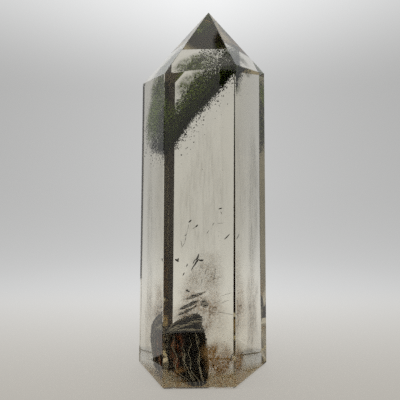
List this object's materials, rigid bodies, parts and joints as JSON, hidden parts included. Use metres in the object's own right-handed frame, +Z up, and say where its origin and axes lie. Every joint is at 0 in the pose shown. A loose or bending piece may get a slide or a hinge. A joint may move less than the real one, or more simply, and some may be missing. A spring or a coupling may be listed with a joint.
{
  "type": "garden quartz point",
  "caption": "Polished six-sided tower of clear smoky quartz with a faceted point, a green chlorite garden under the tip and a dark fibrous inclusion at the base.",
  "frame": {"origin": "middle of the base, on the surface that the tower stands on", "axes": "+Z up along the tower to its tip, -Y out of the face that the picture shows as the front, +X to the right in that view"},
  "size_m": [0.0413, 0.0366, 0.1124],
  "materials": {
    "quartz": "polished clear quartz with a faint smoky tint, IOR 1.544, ground base",
    "chlorite": "dull dark green mineral grains",
    "iron_stained_fibre": "matt dark fibrous mineral with red-brown iron stain"
  },
  "bodies": {
    "root": {"quartz_body": "quartz", "quartz_cap": "quartz", "chlorite_garden": "chlorite", "dark_inclusion": "iron_stained_fibre"}
  },
  "joints": []
}
